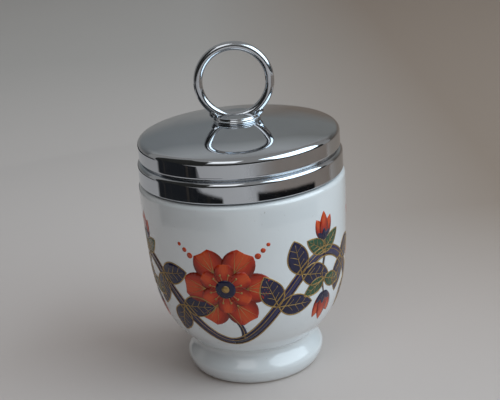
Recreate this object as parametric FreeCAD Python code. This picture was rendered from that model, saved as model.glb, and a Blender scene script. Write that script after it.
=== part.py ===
"""Single-egg coddler: a footed porcelain cup with a screw-on metal lid and a lift ring.

Millimetres. +Z is up and is the cup's axis. The origin is at the middle of the foot's
resting face. The lift ring stands in the XZ plane.
"""
import FreeCAD, Part
import math
import os

V = FreeCAD.Vector
AXIS = V(0, 0, 1)
ORIGIN = V(0, 0, 0)

# Foot and underside of the cup
foot_rest_in_r = 17.4
foot_rest_out_r = 19.2
foot_bulge_r = 21.5
foot_bulge_z = 4.3
foot_spread = (1, 0.6)
waist_r = 18.7
waist_z = 9.6
base_recess_r = 15.2
base_recess_z = 5.0
base_recess_round = 1.4

# Bowl of the cup
body_turn = (21.4, 12.4)
body_low = (25.1, 17.0)
body_mid = (28.1, 23.5)
body_high = (30.0, 33.0)
body_full = (30.9, 46.0)
body_top_r = 31.4
body_top_z = 58.5
ledge_z = 62.0
ledge_round = 1.6
bowl_floor_z = 10.0
bowl_low = (15.5, 12.6)
bowl_mid = (23.2, 21.5)
bowl_wide_r = 27.3
bowl_wide_z = 49.0
bowl_neck_z = 60.5

# Neck of the cup and its screw thread
neck_r = 26.4
neck_bore_r = 23.6
neck_root_round = 0.6
rim_z = 72.3
rim_round = 0.9
thread_starts = 2
thread_lead = 8.0
ridge_root = 0.4
neck_ridge_height = 1.2
neck_ridge_base = 2.0
neck_ridge_crest = 1.0
neck_ridge_bottom_z = 63.9
neck_ridge_rise = 5.6

# Pressed lid shell with a stepped skirt
sheet = 0.7
skirt_r = 31.0
skirt_bottom_z = 62.5
skirt_round = 1.4
skirt_shoulder_z = 67.35
crease_round = 0.25
band_r = 30.4
band_top_z = 73.5
top_round = 1.4
dome_top_z = 78.95

# Threaded liner pressed into the skirt
liner_wall = 0.65
liner_bottom_z = 63.2
liner_flange = 0.7
liner_flange_in_r = 22.0
liner_ridge_crest_r = 26.8
liner_ridge_base = 1.2
liner_ridge_crest = 0.8
liner_ridge_rise = 5.0

# Flat seal on the cup's rim
seal_thick = 1.5
seal_in_r = 23.8
seal_out_r = 27.6

# Boss, its tenon and the washer under the lid
boss_foot_r = 7.15
boss_bead = 0.5
boss_bead_sink = 0.05
boss_top_r = 6.5
boss_height = 1.3
boss_top_round = 0.4
tenon_r = 1.7
tenon_play = 0.05
tenon_head_r = 2.9
tenon_head = 0.8
washer_r = 5.0
washer_thick = 0.7

# Lift ring of round wire
ring_mean_r = 10.64
wire_r = 1.33
ring_centre_z = 90.12
solder_r = 1.5
solder_x = 6.6
solder_lift = 0.3

# Values that follow from the sizes above
thread_pitch = thread_lead / thread_starts
step_r = skirt_r - skirt_round
crease_z = skirt_shoulder_z + skirt_round + crease_round
band_foot_z = crease_z + crease_round + band_r - step_r
band_round_r = band_r - top_round
dome_rise = dome_top_z - band_top_z
dome_r = (band_round_r ** 2 + dome_rise ** 2 - top_round ** 2) / (2 * (dome_rise - top_round))
dome_centre_z = dome_top_z - dome_r
tenon_hole_r = tenon_r + tenon_play
liner_out_r = step_r - crease_round - sheet
liner_in_r = liner_out_r - liner_wall
liner_ridge_bottom_z = neck_ridge_bottom_z + thread_pitch / 2
seal_top_z = rim_z + seal_thick
boss_top_z = dome_top_z + boss_height
washer_top_z = dome_centre_z + math.sqrt((dome_r - sheet) ** 2 - washer_r ** 2)
washer_bottom_z = washer_top_z - washer_thick
head_ball_r = (tenon_head_r ** 2 + tenon_head ** 2) / (2 * tenon_head)
head_centre_z = washer_bottom_z - tenon_head + head_ball_r


def at(point):
    """A point of an outline, given as radius and height."""
    return V(point[0], 0, point[1])


def line(start, end):
    return Part.makeLine(at(start), at(end))


def arc(start, middle, end):
    return Part.Arc(at(start), at(middle), at(end)).toShape()


def cap(centre_z, start, end):
    """The shorter arc between two points of a circle whose centre is on the Z axis."""
    centre = V(0, 0, centre_z)
    circle = Part.Circle(centre, V(0, -1, 0), centre.distanceToPoint(at(start)))
    low = circle.parameter(at(start))
    high = circle.parameter(at(end))
    if (high - low) % (2 * math.pi) > math.pi:
        low, high = high, low
    return Part.ArcOfCircle(circle, low, high).toShape()


def quarter(start, end, corner):
    """A quarter circle from start to end that rounds off the corner."""
    turn = 1 - math.sqrt(0.5)
    centre = (start[0] + end[0] - corner[0], start[1] + end[1] - corner[1])
    middle = (corner[0] + (centre[0] - corner[0]) * turn, corner[1] + (centre[1] - corner[1]) * turn)
    return arc(start, middle, end)


def curve(points, start_way, end_way):
    """A smooth curve through the points, with its directions at both ends."""
    spline = Part.BSplineCurve()
    spline.interpolate(
        Points=[at(point) for point in points],
        InitialTangent=at(start_way),
        FinalTangent=at(end_way),
    )
    return spline.toShape()


def turned(edges):
    """The solid that a closed outline makes round the Z axis."""
    face = Part.Face(Part.Wire(Part.__sortEdges__(edges)))
    solid = face.revolve(ORIGIN, AXIS, 360)
    return Part.Solid(solid.Shells[0])


def tube(in_r, out_r, bottom_z, top_z):
    outer = Part.makeCylinder(out_r, top_z - bottom_z, V(0, 0, bottom_z))
    return outer.cut(Part.makeCylinder(in_r, top_z - bottom_z, V(0, 0, bottom_z)))


def ridge(root_r, crest_r, base, crest, bottom_z, rise, phase):
    """One right-hand thread ridge whose section is a trapezoid."""
    corners = [
        V(root_r, 0, -base / 2),
        V(crest_r, 0, -crest / 2),
        V(crest_r, 0, crest / 2),
        V(root_r, 0, base / 2),
    ]
    section = Part.makePolygon(corners + corners[:1])
    path = Part.Wire(Part.makeHelix(thread_lead, rise, root_r).Edges)
    solid = path.makePipeShell([section], True, True)
    solid = Part.Solid(solid.Shells[0])
    solid.rotate(ORIGIN, AXIS, phase)
    solid.translate(V(0, 0, bottom_z))
    return solid


def thread(root_r, crest_r, base, crest, bottom_z, rise, phase):
    """All the starts of one thread, evenly spaced."""
    step = 360 / thread_starts
    return [
        ridge(root_r, crest_r, base, crest, bottom_z, rise, phase + step * start)
        for start in range(thread_starts)
    ]


def make_cup():
    """Porcelain cup: foot ring, bowl, ledge and threaded neck in one piece."""
    recess_top = (base_recess_r, base_recess_z)
    recess_lip = (foot_rest_in_r, 0)
    recess_bend = (base_recess_r + base_recess_round, base_recess_z - base_recess_round)
    foot_bulge = (foot_bulge_r, foot_bulge_z)
    waist = (waist_r, waist_z)
    body_top = (body_top_r, body_top_z)
    shoulder = (body_top_r, ledge_z - ledge_round)
    ledge = (body_top_r - ledge_round, ledge_z)
    neck_foot = (neck_r + neck_root_round, ledge_z)
    neck_start = (neck_r, ledge_z + neck_root_round)
    neck_end = (neck_r, rim_z - rim_round)
    rim_out = (neck_r - rim_round, rim_z)
    rim_in = (neck_bore_r + rim_round, rim_z)
    bore_top = (neck_bore_r, rim_z - rim_round)
    bore_low = (neck_bore_r, bowl_neck_z)
    wide = (bowl_wide_r, bowl_wide_z)
    outline = [
        line((0, base_recess_z), recess_top),
        quarter(recess_top, recess_bend, (recess_bend[0], base_recess_z)),
        line(recess_bend, recess_lip),
        line(recess_lip, (foot_rest_out_r, 0)),
        curve([(foot_rest_out_r, 0), foot_bulge, waist], foot_spread, (0, 1)),
        curve([waist, body_turn, body_low, body_mid, body_high, body_full, body_top], (0, 1), (0, 1)),
        line(body_top, shoulder),
        quarter(shoulder, ledge, (body_top_r, ledge_z)),
        line(ledge, neck_foot),
        quarter(neck_foot, neck_start, (neck_r, ledge_z)),
        line(neck_start, neck_end),
        quarter(neck_end, rim_out, (neck_r, rim_z)),
        line(rim_out, rim_in),
        quarter(rim_in, bore_top, (neck_bore_r, rim_z)),
        line(bore_top, bore_low),
        curve([bore_low, wide], (0, -1), (0, -1)),
        curve([wide, bowl_mid, bowl_low, (0, bowl_floor_z)], (0, -1), (-1, 0)),
        line((0, bowl_floor_z), (0, base_recess_z)),
    ]
    ridges = thread(
        neck_r - ridge_root,
        neck_r + neck_ridge_height,
        neck_ridge_base,
        neck_ridge_crest,
        neck_ridge_bottom_z,
        neck_ridge_rise,
        0,
    )
    return turned(outline).fuse(ridges)


def dome_point(radius, r):
    """The point at radius r on a ball of this radius about the dome's centre."""
    return (r, dome_centre_z + math.sqrt(radius ** 2 - r ** 2))


def lid_side(inset):
    """One side of the pressed sheet from skirt to tenon hole, moved inwards by inset."""
    radius = dome_r - inset
    bottom = (skirt_r - inset, skirt_bottom_z)
    skirt_top = (skirt_r - inset, skirt_shoulder_z)
    step = (step_r, skirt_shoulder_z + skirt_round - inset)
    crease = (step_r - crease_round - inset, crease_z)
    crease_top = (step_r, crease_z + crease_round + inset)
    band_foot = (band_r - inset, band_foot_z)
    band_high = (band_r - inset, band_top_z)
    lean = math.asin(band_round_r / (dome_r - top_round))
    middle_lean = (lean + math.pi / 2) / 2
    round_middle = (
        band_round_r + (top_round - inset) * math.sin(middle_lean),
        band_top_z + (top_round - inset) * math.cos(middle_lean),
    )
    dome_edge = dome_point(radius, radius * math.sin(lean))
    dome_end = dome_point(radius, tenon_hole_r)
    edges = [
        line(bottom, skirt_top),
        quarter(skirt_top, step, (skirt_top[0], step[1])),
        arc(step, crease, crease_top),
        quarter(crease_top, band_foot, (band_foot[0], crease_top[1])),
        line(band_foot, band_high),
        arc(band_high, round_middle, dome_edge),
        cap(dome_centre_z, dome_edge, dome_end),
    ]
    return edges, bottom, dome_end


def make_lid_shell():
    """Pressed lid: stepped skirt, rounded shoulder and a shallow dome with a tenon hole."""
    outer, outer_bottom, outer_end = lid_side(0)
    inner, inner_bottom, inner_end = lid_side(sheet)
    closing = [line(outer_bottom, inner_bottom), line(outer_end, inner_end)]
    return turned(outer + inner + closing)


def make_thread_liner(lid_shell):
    """Thin threaded sleeve with an inward flange that backs the seal."""
    sleeve = tube(liner_in_r, liner_out_r, liner_bottom_z, seal_top_z + liner_flange)
    flange = tube(liner_flange_in_r, liner_out_r, seal_top_z, seal_top_z + liner_flange)
    ridges = thread(
        liner_in_r + ridge_root,
        liner_ridge_crest_r,
        liner_ridge_base,
        liner_ridge_crest,
        liner_ridge_bottom_z,
        liner_ridge_rise,
        0,
    )
    return sleeve.fuse([flange] + ridges).cut(lid_shell)


def make_lid_seal():
    return tube(seal_in_r, seal_out_r, rim_z, seal_top_z)


def make_lift_ring():
    """Round wire ring, cut flat where it stands on the boss."""
    low = Part.makeBox(4 * ring_mean_r, 4 * wire_r, ring_mean_r)
    low.translate(V(-2 * ring_mean_r, -2 * wire_r, boss_top_z - ring_mean_r))
    wire = Part.makeTorus(ring_mean_r, wire_r, V(0, 0, ring_centre_z), V(0, 1, 0))
    return wire.cut(low)


def dome_ball():
    """The ball whose cap is the lid's outer dome."""
    return Part.makeSphere(dome_r, V(0, 0, dome_centre_z))


def make_ring_boss():
    """Beaded boss with a tenon that is peened over under the washer."""
    bead_r = boss_foot_r - boss_bead
    bead_z = dome_top_z - boss_bead_sink
    shoulder_z = boss_top_z - boss_top_round
    disc = turned([
        line((0, washer_top_z), (bead_r, washer_top_z)),
        line((bead_r, washer_top_z), (bead_r, bead_z - boss_bead)),
        arc((bead_r, bead_z - boss_bead), (boss_foot_r, bead_z), (bead_r, bead_z + boss_bead)),
        line((bead_r, bead_z + boss_bead), (boss_top_r, shoulder_z)),
        quarter(
            (boss_top_r, shoulder_z),
            (boss_top_r - boss_top_round, boss_top_z),
            (boss_top_r, boss_top_z),
        ),
        line((boss_top_r - boss_top_round, boss_top_z), (0, boss_top_z)),
        line((0, boss_top_z), (0, washer_top_z)),
    ])
    tenon = Part.makeCylinder(tenon_r, dome_top_z - washer_bottom_z, V(0, 0, washer_bottom_z))
    head = turned([
        line((0, washer_bottom_z), (tenon_head_r, washer_bottom_z)),
        cap(head_centre_z, (tenon_head_r, washer_bottom_z), (0, washer_bottom_z - tenon_head)),
        line((0, washer_bottom_z - tenon_head), (0, washer_bottom_z)),
    ])
    return disc.cut(dome_ball()).fuse([tenon, head])


def make_rivet_washer():
    return tube(tenon_hole_r, washer_r, washer_bottom_z, washer_top_z)


def make_ring_solder(ring, boss):
    """Two small beads of solder where the wire runs into the edge of the boss."""
    beads = [
        Part.makeSphere(solder_r, V(side * solder_x, 0, boss_top_z + solder_lift))
        for side in (-1, 1)
    ]
    pieces = [bead.cut([ring, boss]) for bead in beads]
    return Part.makeCompound([solid for piece in pieces for solid in piece.Solids])


def main():
    os.makedirs("parts", exist_ok=True)
    ring = make_lift_ring()
    boss = make_ring_boss()
    lid_shell = make_lid_shell()
    nodes = {
        "cup": make_cup(),
        "lid_shell": lid_shell,
        "thread_liner": make_thread_liner(lid_shell),
        "lid_seal": make_lid_seal(),
        "ring_boss": boss,
        "lift_ring": ring,
        "ring_solder": make_ring_solder(ring, boss),
        "rivet_washer": make_rivet_washer(),
    }
    for name, shape in nodes.items():
        shape.exportStep("parts/" + name + ".step")
        box = shape.BoundBox
        print(
            name,
            "valid", shape.isValid(),
            "solids", len(shape.Solids),
            "volume %.1f" % shape.Volume,
            "box %.2f %.2f %.2f  %.2f %.2f %.2f"
            % (box.XMin, box.YMin, box.ZMin, box.XMax, box.YMax, box.ZMax),
        )


main()
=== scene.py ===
"""Looks of a porcelain egg coddler with a screw-on chromed lid and a lift ring."""
import math

import bmesh
import bpy
from bpy.props import FloatProperty, FloatVectorProperty, IntProperty, PointerProperty
from mathutils import Matrix, Vector
from mathutils.geometry import delaunay_2d_cdt


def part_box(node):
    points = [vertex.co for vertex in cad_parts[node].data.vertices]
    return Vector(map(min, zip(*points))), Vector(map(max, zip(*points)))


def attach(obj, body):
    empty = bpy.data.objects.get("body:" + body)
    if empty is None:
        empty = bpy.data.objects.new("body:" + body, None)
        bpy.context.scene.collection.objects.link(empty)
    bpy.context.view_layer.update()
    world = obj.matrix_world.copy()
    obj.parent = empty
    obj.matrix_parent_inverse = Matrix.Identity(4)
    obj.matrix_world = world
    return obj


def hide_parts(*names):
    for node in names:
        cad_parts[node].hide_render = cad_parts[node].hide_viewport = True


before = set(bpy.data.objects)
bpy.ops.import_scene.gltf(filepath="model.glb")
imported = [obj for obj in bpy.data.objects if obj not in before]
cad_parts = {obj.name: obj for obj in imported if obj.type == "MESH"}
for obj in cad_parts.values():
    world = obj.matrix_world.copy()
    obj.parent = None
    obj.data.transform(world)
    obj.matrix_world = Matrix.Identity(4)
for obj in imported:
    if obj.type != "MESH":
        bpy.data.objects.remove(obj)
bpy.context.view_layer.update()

bl_info = {
    "name": "Egg Coddler Looks",
    "version": (1, 0, 0),
    "blender": (4, 5, 0),
    "location": "3D View > Sidebar > Coddler",
    "description": "Builds the finished surfaces of a porcelain egg coddler round its solids",
    "category": "Object",
}

MM = 0.001

# The fitted camera: width and focal length in pixels, and width of sensor in mm.
PHOTO_WIDTH = 500
PHOTO_FOCAL = 1100
SENSOR = 36.0

CUP_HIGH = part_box("cup")[1]
RING_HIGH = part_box("lift_ring")[1]
LID_LOW, LID_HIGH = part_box("lid_shell")
BOSS_LOW, BOSS_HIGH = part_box("ring_boss")
SEAL_LOW, SEAL_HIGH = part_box("lid_seal")
WASHER_LOW, WASHER_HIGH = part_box("rivet_washer")
LINER_LOW, LINER_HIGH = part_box("thread_liner")

WAIST_Z = 9.6 * MM
TENON_HOLE_R = 1.75 * MM


def length(name, words, default):
    return FloatProperty(name=name, description=words, default=default, unit="LENGTH", precision=5)


def colour(name, words, default):
    return FloatVectorProperty(
        name=name, description=words, default=default, size=3, subtype="COLOR", min=0, max=1
    )


class CupSettings(bpy.types.PropertyGroup):
    """Sizes of the porcelain cup."""

    body_r: length("Body radius", "Widest radius of the bowl", CUP_HIGH.x)
    rim_z: length("Rim height", "Height of the rim of the neck", CUP_HIGH.z)
    ledge_z: length("Ledge height", "Height of the ledge round the neck", 0.062)
    neck_r: length("Neck radius", "Outer radius of the neck under its thread", 0.0264)
    bore_r: length("Mouth radius", "Inner radius of the neck", 0.0236)
    foot_r: length("Foot radius", "Radius of the foot's rounded ring", 0.0215)
    waist_r: length("Waist radius", "Radius of the hollow above the foot", 0.0187)
    lead: length("Thread lead", "Rise of the screw thread in one turn", 0.008)
    glaze: colour("Glaze colour", "Colour of the white glaze", (0.70, 0.73, 0.745))


class LidSettings(bpy.types.PropertyGroup):
    """Sizes of the pressed metal lid."""

    skirt_r: length("Skirt radius", "Outer radius of the lid's lower band", LID_HIGH.x)
    skirt_z: length("Skirt edge height", "Height of the lid's lower edge", LID_LOW.z)
    band_r: length("Upper band radius", "Outer radius of the lid's upper band", 0.0304)
    apex_z: length("Dome height", "Height of the middle of the dome", 0.07895)
    sheet: length("Sheet", "Thickness of the pressed sheet", 0.0007)
    chrome: colour("Chrome colour", "Colour of the polished plate", (0.62, 0.655, 0.695))


class RingSettings(bpy.types.PropertyGroup):
    """Sizes of the lift ring and its boss."""

    outer_r: length("Ring radius", "Outer radius of the lift ring", RING_HIGH.x)
    wire_r: length("Wire radius", "Radius of the ring's round wire", RING_HIGH.y)
    boss_r: length("Boss radius", "Radius of the bead at the foot of the boss", BOSS_HIGH.x)
    solder_r: length("Solder radius", "Size of the two beads of solder", 0.00145)


class PatternSettings(bpy.types.PropertyGroup):
    """The fired-on flower band."""

    repeats: IntProperty(name="Repeats", description="Times the band repeats", default=3, min=2, max=8)
    turn: FloatProperty(
        name="Turn", description="Angle of the first flower", default=math.radians(-14), subtype="ANGLE"
    )
    lift: length("Enamel height", "Height of the enamel above the glaze", 0.00003)
    orange: colour("Orange", "Main colour of the flowers", (0.40, 0.025, 0.006))
    blue: colour("Blue", "Colour of the vine and the leaves", (0.013, 0.012, 0.038))
    green: colour("Green", "Colour of the sprigs", (0.018, 0.06, 0.035))
    gold: colour("Gold", "Colour of the gilt lines", (0.42, 0.27, 0.10))


class StageSettings(bpy.types.PropertyGroup):
    """Floor, backdrop, light and camera."""

    distance: length("Camera distance", "Level distance from the axis to the camera", 0.31825)
    height: length("Camera height", "Height of the camera above the floor", 0.16497)
    aim_x: length("Aim to the side", "Sideways place that the camera aims at", 0.00189)
    aim_z: length("Aim height", "Height that the camera aims at", 0.0526)
    roll: FloatProperty(
        name="Roll", description="Turn of the camera about its own axis", default=-0.0813, subtype="ANGLE"
    )
    floor: colour("Floor colour", "Colour of the floor near the cup", (0.61, 0.555, 0.53))
    wall: colour("Wall colour", "Colour of the backdrop", (0.462, 0.437, 0.415))


SETTINGS = {
    "coddler_cup": CupSettings,
    "coddler_lid": LidSettings,
    "coddler_ring": RingSettings,
    "coddler_pattern": PatternSettings,
    "coddler_stage": StageSettings,
}


class Val:
    """A shader or geometry socket that takes part in arithmetic."""

    def __init__(self, graph, socket):
        self.graph = graph
        self.socket = socket

    def maths(self, operation, *others):
        return self.graph.maths(operation, self, *others)

    def __add__(self, other):
        return self.maths("ADD", other)

    def __sub__(self, other):
        return self.maths("SUBTRACT", other)

    def __mul__(self, other):
        return self.maths("MULTIPLY", other)

    def __truediv__(self, other):
        return self.maths("DIVIDE", other)

    def __pow__(self, other):
        return self.maths("POWER", other)

    def __rsub__(self, other):
        return self.graph.maths("SUBTRACT", other, self)

    def __rtruediv__(self, other):
        return self.graph.maths("DIVIDE", other, self)

    __radd__ = __add__
    __rmul__ = __mul__

    def clamped(self):
        return self.maths("MAXIMUM", 0.0).maths("MINIMUM", 1.0)

    def past(self, start, rate):
        """How far the value is past a start, at this rate, held between 0 and 1."""
        return ((self - start) * rate).clamped()


class Graph:
    """Adds nodes to one tree."""

    def __init__(self, tree):
        self.tree = tree
        tree.nodes.clear()

    def node(self, kind, settings=None, values=None):
        """A node of this type, with its settings and then its socket values or links."""
        made = self.tree.nodes.new(kind)
        for name, value in (settings or {}).items():
            if name == "stops":
                self.set_stops(made.color_ramp, value)
            else:
                setattr(made, name, value)
        for name, value in (values or {}).items():
            self.feed(made.inputs[name], value)
        return made

    def feed(self, socket, value):
        if isinstance(value, Val):
            self.tree.links.new(value.socket, socket)
        else:
            socket.default_value = value

    def set_stops(self, ramp, stops):
        for place, shade in stops[2:]:
            ramp.elements.new(place)
        for element, (place, shade) in zip(ramp.elements, sorted(stops)):
            element.position = place
            element.color = (*shade, 1.0)

    def out(self, made, name):
        return Val(self, made.outputs[name])

    def maths(self, operation, *values):
        made = self.node("ShaderNodeMath", {"operation": operation}, dict(enumerate(values)))
        return Val(self, made.outputs[0])

    def mix(self, amount, low, high):
        """Mixes two colours."""
        made = self.node("ShaderNodeMix", {"data_type": "RGBA"})
        self.feed(made.inputs[0], amount)
        for socket, shade in ((made.inputs[6], low), (made.inputs[7], high)):
            self.feed(socket, shade if isinstance(shade, Val) else (*shade, 1.0))
        return Val(self, made.outputs[2])

    def noise(self, vector, scale, detail=2.0):
        made = self.node(
            "ShaderNodeTexNoise", {}, {"Vector": vector, "Scale": scale, "Detail": detail}
        )
        return Val(self, made.outputs["Fac"])

    def vector(self, **parts):
        """A vector with these X, Y and Z."""
        return self.out(self.node("ShaderNodeCombineXYZ", {}, parts), "Vector")

    def parts(self, vector):
        """The X, Y and Z of a vector."""
        made = self.node("ShaderNodeSeparateXYZ", {}, {"Vector": vector})
        return [Val(self, made.outputs[axis]) for axis in range(3)]


class Finish(Graph):
    """A material made of nodes round one Principled shader."""

    def __init__(self, name):
        self.material = bpy.data.materials.new(name)
        self.material.use_nodes = True
        super().__init__(self.material.node_tree)
        self.shader = self.node("ShaderNodeBsdfPrincipled")
        target = self.node("ShaderNodeOutputMaterial")
        self.tree.links.new(self.shader.outputs[0], target.inputs[0])
        self.place = self.out(self.node("ShaderNodeTexCoord"), "Object")

    def set(self, **values):
        for name, value in values.items():
            socket = self.shader.inputs[name.replace("_", " ")]
            self.feed(socket, (*value, 1.0) if isinstance(value, tuple) else value)

    def uv(self, layer):
        return self.out(self.node("ShaderNodeUVMap", {"uv_map": layer}), "UV")

    def stretched(self, vector, x, y, z):
        """A vector stretched along each axis."""
        made = self.node("ShaderNodeMapping", {}, {"Vector": vector, "Scale": (x, y, z)})
        return self.out(made, "Vector")

    def bump(self, height, distance, strength):
        made = self.node(
            "ShaderNodeBump", {}, {"Height": height, "Distance": distance, "Strength": strength}
        )
        self.feed(self.shader.inputs["Normal"], self.out(made, "Normal"))


def shade_of(colour, factor):
    return tuple(min(1.0, part * factor) for part in colour)


def porcelain_finish():
    """Glossy white glaze, with a bare biscuit ring where the foot rests."""
    white = tuple(bpy.context.scene.coddler_cup.glaze)
    finish = Finish("glazed_porcelain")
    cloud = finish.noise(finish.place, 38.0, 3.0)
    speck = finish.noise(finish.place, 950.0, 1.0).past(0.74, 6.0)
    bare = finish.parts(finish.place)[2].past(0.7 * MM, -2500.0)
    glaze = finish.mix(cloud, shade_of(white, 0.975), shade_of(white, 1.02))
    glaze = finish.mix(speck, glaze, (0.36, 0.34, 0.31))
    biscuit = finish.mix(finish.noise(finish.place, 2200.0), (0.55, 0.51, 0.45), (0.70, 0.66, 0.60))
    finish.set(Base_Color=finish.mix(bare, glaze, biscuit))
    finish.set(Roughness=bare * 0.55 + 0.16 + cloud * 0.06)
    finish.set(Coat_Weight=(1.0 - bare) * 0.8, Coat_Roughness=0.035, Coat_IOR=1.55)
    wave = finish.noise(finish.place, 60.0, 1.0) + finish.noise(finish.place, 700.0, 1.0) * 0.04
    finish.bump(wave, 0.22 * MM, 0.5)
    return finish.material


def chrome_finish(name, tint, rough, wear):
    """Polished plate with faint turning marks, hair scratches and finger haze."""
    finish = Finish(name)
    x, y, z = finish.parts(finish.place)
    radius = (x * x + y * y) ** 0.5
    haze = finish.noise(finish.place, 90.0, 4.0)
    marks = finish.noise(finish.vector(X=radius, Y=z), 9000.0)
    hair = finish.noise(finish.stretched(finish.place, 2200.0, 180.0, 2200.0), 1.0).past(0.66, 9.0)
    finish.set(Base_Color=finish.mix(haze, shade_of(tint, 0.94), shade_of(tint, 1.04)))
    finish.set(Metallic=1.0, Roughness=rough + haze * wear + marks * 0.01 + hair * 0.04)
    finish.bump(marks * 0.3 + hair * 0.4 + haze * 6.0, 0.003 * MM, 0.35)
    return finish.material


def tin_finish():
    """Duller plate of the hidden threaded liner and the washer."""
    finish = Finish("tinned_steel")
    spots = finish.noise(finish.place, 260.0, 5.0)
    lines = finish.noise(finish.stretched(finish.place, 60.0, 60.0, 5200.0), 1.0, 3.0)
    finish.set(Base_Color=finish.mix(spots, (0.40, 0.39, 0.37), (0.62, 0.61, 0.59)))
    finish.set(Metallic=1.0, Roughness=spots * 0.2 + 0.2 + lines * 0.08)
    finish.bump(lines + spots * 0.6, 0.02 * MM, 0.6)
    return finish.material


def seal_finish():
    """Pale silicone with a dusty, slightly mottled skin."""
    finish = Finish("silicone_seal")
    mottle = finish.noise(finish.place, 420.0, 4.0)
    finish.set(Base_Color=finish.mix(mottle, (0.60, 0.58, 0.52), (0.74, 0.72, 0.67)))
    finish.set(Roughness=mottle * 0.2 + 0.45)
    finish.bump(finish.noise(finish.place, 2600.0), 0.02 * MM, 0.5)
    return finish.material


def brushed(finish, wide, long):
    """Places across and along an enamel shape, and brush marks that run from its root to its tip."""
    vector = finish.uv("motif")
    across, along, _ = finish.parts(vector)
    return across, along, finish.noise(finish.stretched(vector, wide, long, 1.0), 1.0, 3.0)


def glassy(finish, brush):
    """The skin of a fired enamel, with its brush marks in low relief."""
    finish.set(Coat_Weight=0.25, Coat_Roughness=0.06, Specular_IOR_Level=0.3)
    finish.bump(brush, 0.03 * MM, 0.4)


def orange_finish():
    """Iron-red enamel that brightens from its edge and root to its middle."""
    main = tuple(bpy.context.scene.coddler_pattern.orange)
    finish = Finish("orange_enamel")
    across, along, brush = brushed(finish, 9.0, 1.6)
    body = (1.0 - across * across) * (along * 1.5).clamped() + (brush - 0.5) * 0.55
    stops = [
        (0.0, (main[0] * 0.3, main[1] * 0.3, main[2] * 0.5)),
        (0.35, shade_of(main, 0.62)),
        (0.7, main),
        (1.0, (main[0] * 1.4, main[1] * 3.0, main[2] * 2.5)),
    ]
    ramp = finish.node("ShaderNodeValToRGB", {"stops": stops}, {"Fac": body.clamped()})
    finish.set(Base_Color=finish.out(ramp, "Color"), Roughness=brush * 0.14 + 0.16)
    glassy(finish, brush)
    return finish.material


def leaf_finish(name, main, tip):
    """Cobalt or green enamel with brush marks and a lighter tip."""
    finish = Finish(name)
    across, along, brush = brushed(finish, 7.0, 2.2)
    body = along * 0.5 + (brush - 0.5) * 0.9 + across * across * 0.25
    finish.set(Base_Color=finish.mix(body.clamped(), shade_of(main, 0.75), tip))
    finish.set(Roughness=brush * 0.15 + 0.14)
    glassy(finish, brush)
    return finish.material


def gold_finish():
    """Burnished gilt, thin in places."""
    main = tuple(bpy.context.scene.coddler_pattern.gold)
    finish = Finish("burnished_gilt")
    thin = finish.noise(finish.place, 700.0, 3.0)
    finish.set(Base_Color=finish.mix(thin, shade_of(main, 0.6), shade_of(main, 1.35)))
    finish.set(Metallic=0.75, Roughness=thin * 0.25 + 0.2)
    finish.bump(thin, 0.02 * MM, 0.4)
    return finish.material


def soften(finish, left, right, top):
    """Lets a card fade out over these shares of its width and height."""
    along, up, _ = finish.parts(finish.uv("card"))
    sides = (along / left).clamped() * ((1.0 - along) / right).clamped()
    finish.set(Alpha=sides * ((1.0 - up) / top).clamped())


def tan_finish():
    """Card that shades from pale to tan across the front."""
    finish = Finish("tan_card")
    x = finish.parts(finish.place)[0]
    shade = ((x - 0.02) * 9.0 + finish.noise(finish.place, 25.0) * 0.2).clamped()
    finish.set(Base_Color=finish.mix(shade, (0.95, 0.96, 0.98), (0.72, 0.62, 0.55)), Roughness=0.9)
    soften(finish, 0.2, 0.05, 0.05)
    return finish.material


def floor_finish():
    """Matt floor and backdrop, whose tone changes with depth, side and height."""
    settings = bpy.context.scene.coddler_stage
    near, far = tuple(settings.floor), tuple(settings.wall)
    warm = (far[0] * 0.67, far[1] * 0.56, far[2] * 0.48)
    finish = Finish("pale_floor")
    x, y, z = finish.parts(finish.place)
    cloud = finish.noise(finish.place, 3.0, 3.0)
    back_right = x.past(-0.0257, 7.0) * y.past(-0.08, 5.0)
    floor = finish.mix(back_right, finish.mix(y.past(0.06, 2.3), near, far), warm)
    wall_left = finish.mix(z.past(0.3, 2.0), (0.37, 0.38, 0.38), (0.43, 0.435, 0.435))
    wall = finish.mix(x.past(-0.2, 2.0), wall_left, (0.375, 0.36, 0.335))
    shade = finish.mix(z.past(0.2, 4.0), floor, wall)
    shade = finish.mix(z.past(0.78, 2.1), shade, (0.9, 0.89, 0.88))
    finish.set(Base_Color=finish.mix(cloud * 0.08, shade, (0.2, 0.2, 0.2)))
    finish.set(Roughness=cloud * 0.1 + 0.6)
    return finish.material


def card_finish(name, tint, streak=None, fade=None):
    """Matt card that gives the chrome its darker reflections, with upright streaks and soft edges."""
    finish = Finish(name)
    grain = finish.noise(finish.place, 40.0)
    shade = finish.mix(grain, shade_of(tint, 0.7), shade_of(tint, 1.3))
    if streak:
        lines = finish.noise(finish.stretched(finish.place, 70.0, 70.0, 4.0), 1.0)
        shade = finish.mix(lines.past(0.55, 6.0), shade, streak)
    finish.set(Base_Color=shade, Roughness=0.9)
    if fade:
        soften(finish, *fade)
    return finish.material


def geometry_tree(name, inputs):
    """The graph of an empty Geometry Nodes tree with these named inputs, and its input sockets."""
    tree = bpy.data.node_groups.new(name, "GeometryNodeTree")
    tree.interface.new_socket("Geometry", in_out="INPUT", socket_type="NodeSocketGeometry")
    for label, kind in inputs:
        tree.interface.new_socket(label, in_out="INPUT", socket_type="NodeSocket" + kind)
    tree.interface.new_socket("Geometry", in_out="OUTPUT", socket_type="NodeSocketGeometry")
    graph = Graph(tree)
    source = graph.node("NodeGroupInput")
    return graph, {socket.name: Val(graph, socket) for socket in source.outputs if socket.name}


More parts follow.
